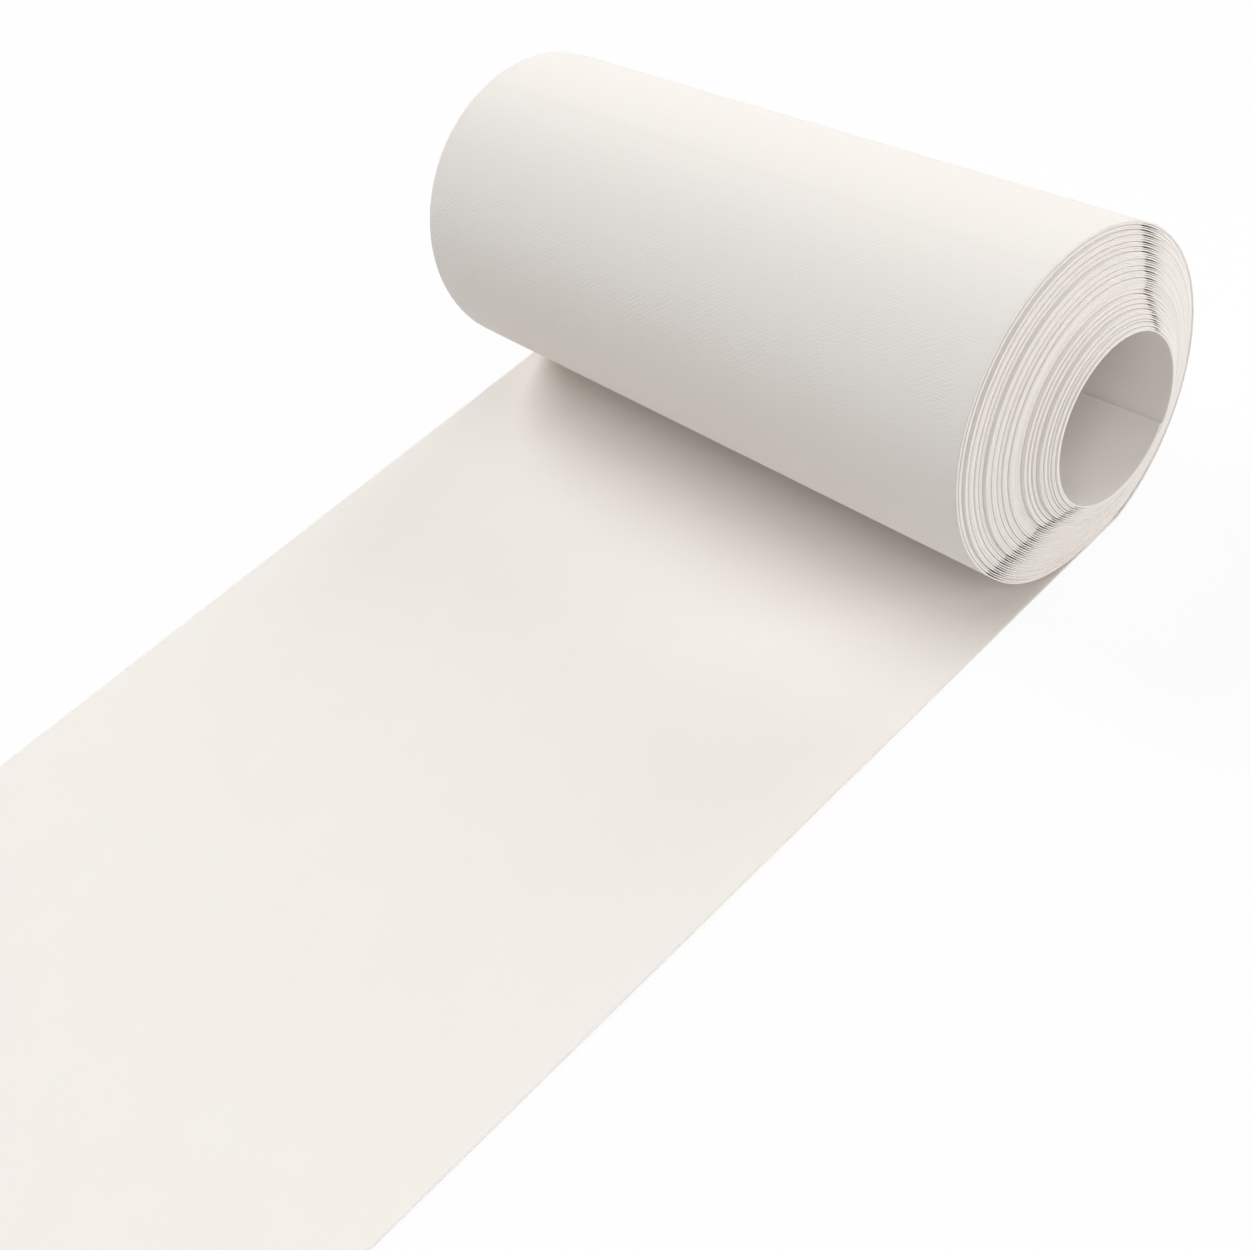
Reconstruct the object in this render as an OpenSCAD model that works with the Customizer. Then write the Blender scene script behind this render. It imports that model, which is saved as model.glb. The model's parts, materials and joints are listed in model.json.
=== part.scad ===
// Backdrop paper roll: a coreless roll of heavy off-white paper that lies on its own drawn sheet.
// The roll's axis is X, the floor is z = 0, and the sheet is drawn towards -Y.
// Angles go round the roll's axis from the back, +Y, upwards to +Z.

/* [Paper] */
// Width of the paper, along the roll
paper_w = 250; // [150:5:600]
// Thickness of the wound strip, about two plies of the thinner paper
paper_t = 0.6; // [0.5:0.05:0.9]

/* [Winding] */
// Radius of the open bore in the middle of the roll
bore_r = 26; // [18:0.5:40]
// Number of loops in the winding
loops = 24; // [8:1:24]
// Air between one loop and the next
loop_gap = 0.6; // [0.45:0.05:1]
// Angle of the strip's straight inner end, which shows as a seam in the bore
seam_angle = -35; // [-60:1:-20]
// Angle over which the strip climbs from one loop to the next
climb_angle = 85; // [60:1:88]

/* [Telescoped ends] */
// How far the innermost loop stands out past the outermost one
cone_h = 12.5; // [0:0.5:25]
// How far single loops wander in or out of the even cone
edge_wander = 0.7; // [0:0.1:1.5]
// Step of the wander from loop to loop, as an angle
wander_step = 137; // [90:1:170]

/* [Leaving turn] */
// Running gap between the winding and the paper round it
running_gap = 0.3; // [0.25:0.05:0.6]
// Angle at which the outer turn leaves the winding
leave_angle = 35; // [20:1:45]
// How far the centre of the loosened turn lies off the roll's axis
slack = 1.5; // [0.8:0.1:3]
// Radius of the bend where the paper turns flat on the floor
floor_bend_r = 15; // [8:1:25]
// Hairline between the leaving turn and the drawn sheet, where one travels and the other lies still
butt_gap = 0.1; // [0.05:0.05:0.3]

/* [Drawn sheet] */
// Length of the drawn sheet, from the roll's axis to its cut end
drawn_l = 380; // [150:5:1200]

/* [Hidden] */
$fn = 180;
paper_colour = "#f1ede6";

// The loops lie one pitch apart, and the roll rests a running gap above its sheet.
pitch = paper_t + loop_gap;
wound_r = bore_r + (loops - 1) * pitch + paper_t;
axis_z = paper_t + running_gap + wound_r;

// A climb is two arcs, tangent to the loops at both ends and to each other halfway.
// Their centres lie off the axis by climb_off, and are shared by every loop.
climb_off = pitch / (2 * (1 - cos(climb_angle / 2)));
climb_top = seam_angle + climb_angle;
climb_mid = seam_angle + climb_angle / 2;
loop_end = seam_angle + 360;

// The edge of each loop steps along the axis once, at a place that moves on from loop to loop.
step_margin = 20;
step_turn = 0.382;

// Where one stretch of bent paper runs into the next, its end is let into it by a small angle,
// thinner by a hair on each face, so that the strip is one solid.
let_in = 0.5;
hair = 0.01;

// The leaving turn is one arc round a centre off the axis, and a tighter bend onto the floor.
leave_in_r = wound_r + running_gap + slack;
leave_out_r = leave_in_r + paper_t;
leave_y = -slack * cos(leave_angle);
leave_z = axis_z - slack * sin(leave_angle);
bend_rise = leave_z - floor_bend_r;
landing_y = leave_y + sqrt(pow(leave_out_r - floor_bend_r, 2) - pow(bend_rise, 2));
bend_angle = -asin(bend_rise / (leave_out_r - floor_bend_r));

function dir(angle) = [cos(angle), sin(angle)];
function fraction(x) = x - floor(x);
function loop_r(i) = bore_r + i * pitch;

// Where the edges of loop i lie along the axis: an even cone, with a wander on the loops between
// the innermost and the outermost.
function edge_shift(i) =
    let (wander = i > 0 && i < loops - 1 ? edge_wander * sin(i * wander_step) : 0)
    cone_h * (loops - 1 - max(i, 0)) / (loops - 1) + wander;
function step_angle(i) =
    climb_top + step_margin + (360 - climb_angle - 2 * step_margin) * fraction(i * step_turn);

// A stretch of paper bent to an arc of inner radius r round centre, seen along the axis.
// Both faces are drawn in by thin.
module bent_paper(centre, r, from, to, shift = 0, thin = 0) {
    translate([shift - paper_w / 2, centre[0], centre[1]])
        rotate([90, 0, 90])
            rotate_extrude(angle = to - from, start = from)
                translate([r + thin, 0])
                    square([paper_t - 2 * thin, paper_w]);
}

// One loop of the winding, up to where the strip climbs to the next one.
module loop(i) {
    bent_paper([0, 0], loop_r(i), step_angle(i) - let_in, loop_end, edge_shift(i - 1));
    bent_paper([0, 0], loop_r(i), climb_top, step_angle(i), edge_shift(i));
}

// The climb from loop i to the next one.
module climb(i) {
    bent_paper(-climb_off * dir(climb_top), loop_r(i) + climb_off,
        climb_mid, climb_top + let_in, edge_shift(i), hair);
    bent_paper(climb_off * dir(seam_angle), loop_r(i + 1) - climb_off,
        seam_angle - let_in, climb_mid + let_in, edge_shift(i), 2 * hair);
}

// The turns that are still wound: one strip, from its inner end at the seam to its outer end.
module wound_paper() {
    color(paper_colour)
        translate([0, 0, axis_z]) {
            for (i = [0 : loops - 1]) loop(i);
            for (i = [0 : loops - 2]) climb(i);
        }
}

// The loosened outer turn: down the back of the roll, and in under it along the floor.
module lead_off() {
    color(paper_colour) {
        bent_paper([leave_y, leave_z], leave_in_r, bend_angle - let_in, leave_angle, 0, hair);
        bent_paper([landing_y, floor_bend_r], floor_bend_r - paper_t, -90, bend_angle);
    }
}

// The stretch that lies flat on the floor, from under the roll to its cut end.
module drawn_sheet() {
    color(paper_colour)
        translate([-paper_w / 2, -drawn_l, 0])
            cube([paper_w, drawn_l + landing_y - butt_gap, paper_t]);
}

// Least gap of the strip to itself, on points: the outer face of each loop against the inner
// face of the next one, on the loop and on both arcs of its climb.
gap_points = 24;
function arc_points(centre, r, from, to) =
    [for (k = [0 : gap_points]) centre + r * dir(from + (to - from) * k / gap_points)];
function face_points(i, depth) = concat(
    arc_points([0, 0], loop_r(i) + depth, climb_top, loop_end),
    arc_points(-climb_off * dir(climb_top), loop_r(i) + climb_off + depth, climb_mid, climb_top),
    arc_points(climb_off * dir(seam_angle), loop_r(i + 1) - climb_off + depth, seam_angle, climb_mid));
function least_gap(i) =
    let (outer = face_points(i, paper_t), inner = face_points(i + 1, 0))
    min([for (p = outer, q = inner) norm(p - q)]);
echo(least_gap_mm = min([for (i = [0 : loops - 2]) least_gap(i)]));

wound_paper();
lead_off();
drawn_sheet();
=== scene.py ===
"""A coreless roll of heavy off-white backdrop paper, lying on the stretch drawn from it."""
import json
import math

import bpy
import numpy as np
from mathutils import Matrix, Vector


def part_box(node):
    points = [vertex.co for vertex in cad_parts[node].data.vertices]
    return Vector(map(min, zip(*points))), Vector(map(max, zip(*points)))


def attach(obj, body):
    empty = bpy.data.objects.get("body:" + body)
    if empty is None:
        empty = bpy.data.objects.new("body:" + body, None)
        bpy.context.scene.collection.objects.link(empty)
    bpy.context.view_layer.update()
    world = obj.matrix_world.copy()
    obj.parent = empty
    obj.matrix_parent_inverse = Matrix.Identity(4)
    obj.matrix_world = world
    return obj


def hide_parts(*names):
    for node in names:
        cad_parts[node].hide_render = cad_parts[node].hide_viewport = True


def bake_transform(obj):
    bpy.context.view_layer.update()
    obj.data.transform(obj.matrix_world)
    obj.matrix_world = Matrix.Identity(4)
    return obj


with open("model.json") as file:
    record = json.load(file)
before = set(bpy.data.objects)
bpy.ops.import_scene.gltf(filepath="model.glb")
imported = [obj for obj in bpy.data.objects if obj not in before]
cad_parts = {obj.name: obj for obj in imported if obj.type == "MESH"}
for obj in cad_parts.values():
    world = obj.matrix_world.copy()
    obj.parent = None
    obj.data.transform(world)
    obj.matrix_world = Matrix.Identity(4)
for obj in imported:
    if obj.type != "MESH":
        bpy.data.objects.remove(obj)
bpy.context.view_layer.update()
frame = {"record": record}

mm = 0.001

# The camera. It stands in front of the roll and to the right, past the end whose turns stand out,
# and looks down on it, with its head tilted to the left. Its focal length is in the photo's pixels.
CAMERA_AT = Vector((361.6, -284.5, 374.7)) * mm
LOOKS_TOWARDS = math.radians(62.917)
LOOKS_DOWN = math.radians(44.387)
HEAD_TILT = math.radians(-21.473)
FOCAL_LENGTH, PHOTO_WIDTH = 1607.5, 1250
SENSOR_WIDTH = 36


def placed(name, data):
    """A new object with the given data, put into the scene."""
    made = bpy.data.objects.new(name, data)
    bpy.context.scene.collection.objects.link(made)
    return made


camera = placed("camera", bpy.data.cameras.new("camera"))
camera.data.sensor_width = SENSOR_WIDTH
camera.data.lens = FOCAL_LENGTH / PHOTO_WIDTH * SENSOR_WIDTH
camera.matrix_world = (
    Matrix.Translation(CAMERA_AT)
    @ Matrix.Rotation(LOOKS_TOWARDS, 4, "Z")
    @ Matrix.Rotation(math.pi / 2 - LOOKS_DOWN, 4, "X")
    @ Matrix.Rotation(HEAD_TILT, 4, "Z")
)
bpy.context.scene.camera = camera


# The wound turns. One strip of heavy paper is wound on itself with no core, and its straight inner
# end shows as a seam in the bore. The turns have slipped along the axis in bundles of one to five,
# so that the inner ones stand out at the right-hand end and lie deep in the left-hand one.
joints = {joint["name"]: joint for joint in frame["record"]["behaviour"]["joints"]}
mounts = {mount["name"]: mount for mount in frame["record"]["mounts"]}
wound_low, wound_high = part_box("wound_paper")
sheet_low, sheet_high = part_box("drawn_sheet")
AXIS_Z = joints["roll_turn"]["pos_m"][2]
BORE_R = mounts["bore"]["dims"]["r_mm"] * mm
FULLER_BY = 0.7 * mm
WOUND_R = AXIS_Z - wound_low.z + FULLER_BY
SLIP = wound_high.x - sheet_high.x
PAPER_T = 0.56 * mm
OFF_CENTRE = 0.82 * mm

# Angles go round the axis from the back, +Y, upwards to +Z, and turns are counted from the outer
# end. Each turn has a station every few degrees, and one at every degree where it parts.
FULL_TURN = 2 * math.pi
OUTER_END_DEGREES = -70
OUTER_END = math.radians(OUTER_END_DEGREES)
WHOLE_TURNS, LAST_PART_TURN = 45, 31 / 360
EVEN_STATIONS = OUTER_END_DEGREES + np.arange(0, 360, 4)
CLOSE_STATIONS = np.r_[43:57, 207:220]
STATIONS = np.radians(np.union1d(EVEN_STATIONS, CLOSE_STATIONS))

# The outer end is feathered, the inner end lifts into the bore, and the first turns sag in front.
FEATHER_TURN, FEATHER_T = 0.04, 0.1 * mm
INNER_END_TURN, INNER_END_LIFT = 0.04, 0.4 * mm
SAGS_AT, SAGS_FOR = np.radians((239, 20))
SAGS_TURNS, SAGS_BY = 5, 0.8 * mm

# The turns part along two lines across the end, which bend on their way in: sharply on the front
# side, and fading to the back. Bundles part further there, and a little over the top and front.
FANS_FROM = np.radians((54, 209.5))
FANS_BEND, FANS_RISE, FANS_FALL = np.radians((8, 2, 11))
FANS_BY, BUNDLES_FAN_BY = 0.17 * mm, 0.1 * mm
CREASES_AT, CREASES_FOR = np.radians((110, 80))
CREASES_BY = 0.15 * mm

# From the outside in: how many turns lie flush in each bundle, and how far, in parts of the whole
# slip, each bundle stands out past the one before. Single edges wander by a hair.
FLUSH_TURNS = (1, 2, 2, 3, 2, 2, 3, 3, 2, 3, 5, 2, 2, 2, 2, 2, 2, 1, 2, 2)
STEPS = (4, 12, 5, 5, 5, 15, 6, 5, 8, 8, 2, 15, 5, 7, 16, 6, 5, 7, 7)
SLIDES_FROM, SLIDES_FOR = 0.08, 0.22
EDGE_WANDER, WANDER_STEP = 0.06 * mm, 2.4


def eased(t):
    """0 before t = 0, 1 after t = 1, and between them a curve that is level at both ends."""
    t = np.clip(t, 0, 1)
    return t * t * (3 - 2 * t)


def slip_along_axis(turn):
    """How far the paper has slipped along the axis, after so many turns from the outer end.

    It is level round the front of each turn, and slides to the next turn's level at the back.
    """
    steps = SLIP * np.cumsum((0,) + STEPS) / sum(STEPS)
    level = np.repeat(steps, FLUSH_TURNS)
    level += EDGE_WANDER * (np.sin(WANDER_STEP * np.arange(len(level))) - 1)
    since = turn - SLIDES_FROM
    whole = np.floor(since).astype(int)
    slide = eased((since - whole) / SLIDES_FOR)
    before, after = (level[np.clip(number, 0, len(level) - 1)] for number in (whole - 1, whole))
    return before + (after - before) * slide


EDGE_BULGE = 0.1 * mm
EDGE_MARGIN = 0.8 * mm
EDGE_POINTS = 5
SHARP_FROM = math.radians(60)


def closing_faces(ring):
    """Faces that close an end of a strip: quads from face to face, and one face in each edge."""
    flat = len(ring) // 2 - EDGE_POINTS
    outer, inner = ring[:flat], ring[flat + EDGE_POINTS:-EDGE_POINTS][::-1]
    quads = np.stack([outer[:-1], outer[1:], inner[1:], inner[:-1]], axis=-1).tolist()
    right = ring[flat - 1:flat + EDGE_POINTS + 1].tolist()
    left = np.append(ring[-EDGE_POINTS - 1:], ring[0]).tolist()
    return quads + [right, left]


def strip_of_paper(name, outer, inner, left, right, run, columns):
    """A closed strip of paper with rounded edges, made of one ring for each station along it.

    outer and inner are the (y, z) of its two faces at each station, left and right the x of its
    edges, and run the length of paper up to there. A ring goes across the outer face, round the
    right edge, back across the inner face and round the left edge; an edge is half an ellipse.
    Quads join each ring to the next, and both ends are closed.
    The UV map holds the place across the paper and the run, both in metres, and the attribute
    "front" is 1 on the outer face and 0 on the inner one.
    """
    width = (right - left)[:, None]
    bow = np.linspace(-math.pi / 2, math.pi / 2, EDGE_POINTS + 2)[1:-1]
    inset = EDGE_BULGE * (1 - np.cos(bow))
    between = EDGE_MARGIN + (width - 2 * EDGE_MARGIN) * np.linspace(0, 1, columns + 1)
    across = np.concatenate([np.full_like(width, EDGE_BULGE), between, width - EDGE_BULGE], axis=1)
    place = np.concatenate([across, width - inset, across[:, ::-1], 0 * width + inset], axis=1)
    sunk = (1 + np.sin(bow)) / 2
    sunk = np.concatenate([0 * across[0], sunk, 0 * across[0] + 1, sunk[::-1]])
    points = outer[:, None, :] + (inner - outer)[:, None, :] * sunk[:, None]
    rings = np.concatenate([(left[:, None] + place)[..., None], points], axis=2)
    place = np.dstack([place, np.broadcast_to(run[:, None], place.shape)])

    index = np.arange(place[..., 0].size).reshape(place.shape[:2])
    after = np.roll(index, -1, axis=1)
    walls = np.stack([index[:-1], index[1:], after[1:], after[:-1]], axis=-1).reshape(-1, 4)
    faces = walls.tolist() + closing_faces(index[0])
    faces += [face[::-1] for face in closing_faces(index[-1])]

    mesh = bpy.data.meshes.new(name)
    mesh.from_pydata(rings.reshape(-1, 3).tolist(), [], faces)
    corners = np.empty(len(mesh.loops), dtype=np.int32)
    mesh.loops.foreach_get("vertex_index", corners)
    uv_map = mesh.uv_layers.new(name="strip")
    uv_map.uv.foreach_set("vector", place.reshape(-1, 2)[corners].ravel())
    front = mesh.attributes.new("front", "FLOAT", "POINT")
    front.data.foreach_set("value", np.tile(1 - sunk, len(run)))
    mesh.polygons.foreach_set("use_smooth", np.ones(len(faces), dtype=bool))
    mesh.set_sharp_from_angle(angle=SHARP_FROM)
    return placed(name, mesh)


def round_axis(radius, angle, y=0.0, z=AXIS_Z):
    """(y, z) at a radius and an angle round a centre, from the back, +Y, upwards to +Z."""
    return np.stack([y + radius * np.cos(angle), z + radius * np.sin(angle)], axis=-1)


def wrapped(angle):
    """The same place on the turn, as an angle between half a turn back and half a turn on."""
    return np.angle(np.exp(1j * angle))


def near(angle, place, spread):
    """A bell curve round a place on the turn: 1 there, and 1/e at one spread away from it."""
    return np.exp(-(wrapped(angle - place) / spread) ** 2)


def fans_out(past):
    """0 short of a place on the turn, 1 a little past it, and then a bell curve down to 0."""
    past = wrapped(past)
    return eased(past / FANS_RISE) * np.exp(-(past / FANS_FALL) ** 2)


def length_along(points):
    """The length of a path up to each of its points."""
    return np.concatenate([[0], np.cumsum(np.hypot(*np.diff(points, axis=0).T))])


class Value:
    """A socket of a shader. Operators on it add Math nodes, and node() adds any other node."""

    def __init__(self, tree, socket=None):
        self.tree, self.socket = tree, socket

    def node(self, kind, settings, inputs, output=0):
        """Add a node: its settings go first, then its sockets get their values or links."""
        made = self.tree.nodes.new(kind)
        for name, setting in settings.items():
            setattr(made, name, setting)
        for name, given in inputs.items():
            if isinstance(given, Value):
                self.tree.links.new(given.socket, made.inputs[name])
            else:
                made.inputs[name].default_value = given
        return Value(self.tree, made.outputs[output] if made.outputs else None)

    def math(self, operation, *values):
        return self.node("ShaderNodeMath", {"operation": operation}, dict(enumerate(values)))

    def __add__(self, other):
        return self.math("ADD", self, other)

    def __mul__(self, other):
        return self.math("MULTIPLY", self, other)

    def __rsub__(self, other):
        return self.math("SUBTRACT", other, self)

    __radd__, __rmul__ = __add__, __mul__


def empty_tree(owner):
    """The owner's node tree with nothing in it, as a start for expressions."""
    owner.use_nodes = True
    owner.node_tree.nodes.clear()
    return Value(owner.node_tree)


# The grain, per metre of paper: the waves of the emboss, and the scale and detail of each noise.
TWILL_ACROSS, TWILL_ALONG, RIBS_ALONG = 401, 601, 1140
FLECKS, CLOUDS, BREAKS = (900, 3), (45, 2), (300, 1)

# How strongly each of them counts.
PATCHES_FROM, PATCHES_TO = 0.35, 0.65
PLAIN_EMBOSS, PATCH_EMBOSS, INNER_EMBOSS = 0.3, 0.8, 0.15
FLECK_RELIEF = 0.7
RELIEF_STRENGTH, RELIEF_DEPTH = 0.5, 0.05 * mm
CLOUD_TONE, FLECK_TONE = 0.7, 0.3
WARM_WHITE, COOL_WHITE = (0.865, 0.82, 0.775, 1), (0.885, 0.845, 0.80, 1)
ROUGHNESS, FLECK_ROUGHNESS = 0.82, 0.12
SHINE = 0.25


def embossed_paper():
    """Matt off-white paper, embossed on its outer face.

    The emboss is two sine waves, broken up by noise: a twill that runs across the paper and along
    it, and a finer rib straight across. It comes out in patches, and faintly on the inner face.
    Flecks of fibre and slow clouds of thinner and thicker stock change the colour a little.
    """
    material = bpy.data.materials.new("embossed_paper")
    start = empty_tree(material)
    strip = start.node("ShaderNodeUVMap", {"uv_map": "strip"}, {})
    across, along = (start.node("ShaderNodeSeparateXYZ", {}, {0: strip}, axis) for axis in (0, 1))
    front = start.node("ShaderNodeAttribute", {"attribute_name": "front"}, {}, "Fac")
    flecks, clouds, breaks = (
        start.node("ShaderNodeTexNoise", {}, {"Vector": strip, "Scale": scale, "Detail": detail})
        for scale, detail in (FLECKS, CLOUDS, BREAKS))
    patches = start.node("ShaderNodeMapRange", {"interpolation_type": "SMOOTHSTEP"},
                         {"Value": clouds, "From Min": PATCHES_FROM, "From Max": PATCHES_TO})
    twill = start.math("SINE", (across * TWILL_ACROSS + along * TWILL_ALONG + breaks) * FULL_TURN)
    ribs = start.math("SINE", (along * RIBS_ALONG + breaks) * FULL_TURN)
    emboss = (twill * (1 - breaks) + ribs * breaks) * (PLAIN_EMBOSS + PATCH_EMBOSS * patches)
    relief = emboss * (INNER_EMBOSS + (1 - INNER_EMBOSS) * front) + FLECK_RELIEF * flecks
    bump = start.node("ShaderNodeBump", {}, {
        "Strength": RELIEF_STRENGTH, "Distance": RELIEF_DEPTH, "Height": relief})
    tone = CLOUD_TONE * clouds + FLECK_TONE * flecks
    colour = start.node("ShaderNodeMix", {"data_type": "RGBA"},
                        {0: tone, 6: WARM_WHITE, 7: COOL_WHITE}, 2)
    surface = start.node("ShaderNodeBsdfPrincipled", {}, {
        "Base Color": colour, "Roughness": ROUGHNESS + FLECK_ROUGHNESS * flecks,
        "Specular IOR Level": SHINE, "Normal": bump})
    start.node("ShaderNodeOutputMaterial", {}, {"Surface": surface})
    return material


turns = WHOLE_TURNS + LAST_PART_TURN
turn = np.add.outer(np.arange(WHOLE_TURNS + 1), (STATIONS - OUTER_END) / FULL_TURN).ravel()
turn = np.append(turn[turn < turns], turns)
angle = OUTER_END + FULL_TURN * turn
pitch = (WOUND_R - PAPER_T - BORE_R) / turns

bent = FANS_BEND * (turn / turns) ** 3
fans = fans_out(FANS_FROM[0] - bent - angle) + fans_out(angle - FANS_FROM[1] - bent)
parted = FANS_BY / 2 * fans
starts_bundle = np.isin(np.floor(turn), np.cumsum(FLUSH_TURNS))
creased = BUNDLES_FAN_BY * fans + CREASES_BY * near(angle, CREASES_AT, CREASES_FOR)
feather = (PAPER_T - FEATHER_T) * (1 - eased(turn / FEATHER_TURN))
lifted = INNER_END_LIFT * np.clip((turn - turns) / INNER_END_TURN + 1, 0, 1) ** 2
sag = SAGS_BY * near(angle, SAGS_AT, SAGS_FOR) * np.exp(-turn / SAGS_TURNS)
middle = WOUND_R - PAPER_T / 2 - pitch * turn - lifted + sag

off_centre = OFF_CENTRE * turn / turns
centre = off_centre, AXIS_Z + off_centre
outer_r = middle + PAPER_T / 2 - parted - starts_bundle * creased - feather
outer_face = round_axis(outer_r, angle, *centre)
inner_face = round_axis(middle - PAPER_T / 2 + parted, angle, *centre)
slipped = slip_along_axis(turn)
wound_turns = strip_of_paper("wound_turns", outer_face, inner_face, sheet_low.x + slipped,
                             sheet_high.x + slipped, length_along(outer_face), columns=1)
paper = embossed_paper()
wound_turns.data.materials.append(paper)
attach(wound_turns, "roll")
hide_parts("wound_paper")


# The drawn paper. It is the same strip: cut straight at its free end, flat on the floor, turned up
# in a tight bend behind the roll, slack round the back of the winding, and close to it at the top.
LEAVES_AT, SINKS_FROM, SETTLES_AT = np.radians((60, 94, 100))
HUG_GAP = 0.06 * mm
SINKS_BY = 0.2 * mm
THIN_END_T = 0.05 * mm
SLACK = 0.92 * mm
FLOOR_BEND_R = 3 * mm
LIFT = 0.02 * mm
LYING_POINTS, BEND_POINTS, RISING_POINTS, CLOSING_POINTS = 90, 12, 60, 50

# Over the top it follows the winding, thins out and sinks in.
closing = np.linspace(LEAVES_AT, SETTLES_AT, CLOSING_POINTS)
sunk = SINKS_BY * eased((closing - SINKS_FROM) / (SETTLES_AT - SINKS_FROM))
closing_r = WOUND_R - pitch * (closing - OUTER_END) / FULL_TURN + HUG_GAP - sunk
closed = (closing - LEAVES_AT) / (SETTLES_AT - LEAVES_AT)
closing_t = PAPER_T + (THIN_END_T - PAPER_T) * eased(closed)

# Down the back it is one arc round a centre off the axis, and a bend that is tangent to that arc
# and to the floor.
slack_r = closing_r[0] + SLACK
slack_y, slack_z = round_axis(-SLACK, LEAVES_AT)
bend_z = LIFT + FLOOR_BEND_R
rise = slack_z - bend_z
bend_off = slack_r + PAPER_T - FLOOR_BEND_R
bend_y = slack_y + math.sqrt(bend_off ** 2 - rise ** 2)
bend_top = -math.asin(rise / bend_off)

lying_y = np.linspace(sheet_low.y, bend_y, LYING_POINTS, endpoint=False)
lying_z = LIFT * (lying_y - sheet_low.y) / (bend_y - sheet_low.y)
bend = np.linspace(-math.pi / 2, bend_top, BEND_POINTS, endpoint=False)
rising = np.linspace(bend_top, LEAVES_AT, RISING_POINTS, endpoint=False)
under_face = np.concatenate([
    np.stack([lying_y, lying_z], axis=-1),
    round_axis(FLOOR_BEND_R, bend, bend_y, bend_z),
    round_axis(slack_r + PAPER_T, rising, slack_y, slack_z),
    round_axis(closing_r + closing_t, closing),
])
upper_face = np.concatenate([
    np.stack([lying_y, lying_z + PAPER_T], axis=-1),
    round_axis(FLOOR_BEND_R - PAPER_T, bend, bend_y, bend_z),
    round_axis(slack_r, rising, slack_y, slack_z),
    round_axis(closing_r, closing),
])
run = length_along(under_face)
drawn_paper = strip_of_paper("drawn_paper", under_face, upper_face, np.full(len(run), sheet_low.x),
                             np.full(len(run), sheet_high.x), run, columns=10)
drawn_paper.data.materials.append(paper)
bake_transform(drawn_paper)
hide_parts("drawn_sheet", "lead_off")


# The floor. A plain white tabletop that carries the drawn paper; the camera sees it as white paper
# sees daylight, with a part of its own shade left in, so that the roll's shadow stays on it.
FLOOR_SIZE = 8
FLOOR_DROP = 0.3 * mm
FLOOR_WHITE = (0.9, 0.9, 0.9, 1)
SHADE_KEPT = 0.07


def seen_directly(start):
    """1 for a ray that the camera, a reflection or a clear material sends out, and 0 for light."""
    path = [start.node("ShaderNodeLightPath", {}, {}, name)
            for name in ("Is Camera Ray", "Is Glossy Ray", "Is Transmission Ray")]
    return start.math("MINIMUM", path[0] + path[1] + path[2], 1)


corner = FLOOR_SIZE / 2
floor_mesh = bpy.data.meshes.new("floor")
floor_mesh.from_pydata([(-corner, -corner, -FLOOR_DROP), (corner, -corner, -FLOOR_DROP),
                        (corner, corner, -FLOOR_DROP), (-corner, corner, -FLOOR_DROP)],
                       [], [(0, 1, 2, 3)])
floor = placed("floor", floor_mesh)
floor_white = bpy.data.materials.new("floor_white")
start = empty_tree(floor_white)
matt = start.node("ShaderNodeBsdfDiffuse", {}, {"Color": FLOOR_WHITE})
bright = start.node("ShaderNodeEmission", {}, {"Strength": 1})
start.node("ShaderNodeOutputMaterial", {}, {"Surface": start.node(
    "ShaderNodeMixShader", {}, {0: seen_directly(start) * (1 - SHADE_KEPT), 1: matt, 2: bright})})
floor_mesh.materials.append(floor_white)


# The light. The main lamp stands on the left, and a low one on the right lights the roll's end.
# Weaker ones fill in from the front, from above and from behind, in a pale room.
ROOM_STRENGTH = 0.03
LAMP_SPREAD = math.radians(36)

world = bpy.data.worlds.new("room")
bpy.context.scene.world = world
start = empty_tree(world)
room = start.node("ShaderNodeBackground", {}, {"Strength": ROOM_STRENGTH})
white = start.node("ShaderNodeBackground", {}, {"Color": (1, 1, 1, 1), "Strength": 1})
start.node("ShaderNodeOutputWorld", {}, {"Surface": start.node(
    "ShaderNodeMixShader", {}, {0: seen_directly(start), 1: room, 2: white})})


def soft_lamp(name, round_from_front, height, strength, tint):
    """A distant lamp behind a wide cloth. Angles are in degrees, from the front to the right."""
    turned, raised = math.radians(round_from_front), math.radians(height)
    towards = Vector((math.sin(turned) * math.cos(raised), -math.cos(turned) * math.cos(raised),
                      math.sin(raised)))
    lamp = placed(name, bpy.data.lights.new(name, "SUN"))
    lamp.data.angle = LAMP_SPREAD
    lamp.data.energy = strength
    lamp.data.color = tint
    lamp.rotation_euler = towards.to_track_quat("Z", "Y").to_euler()


soft_lamp("left_lamp", 270, 42, 2.25, (0.985, 1.0, 1.0))
soft_lamp("right_lamp", 108, 15, 1.20, (1.0, 0.98, 0.99))
soft_lamp("front_lamp", 45, 42, 0.76, (1.0, 1.0, 1.0))
soft_lamp("high_lamp", 120, 68, 0.49, (1.0, 1.0, 1.0))
soft_lamp("back_lamp", 180, 28, 0.80, (1.0, 1.0, 1.0))
bpy.context.scene.view_settings.view_transform = "Standard"
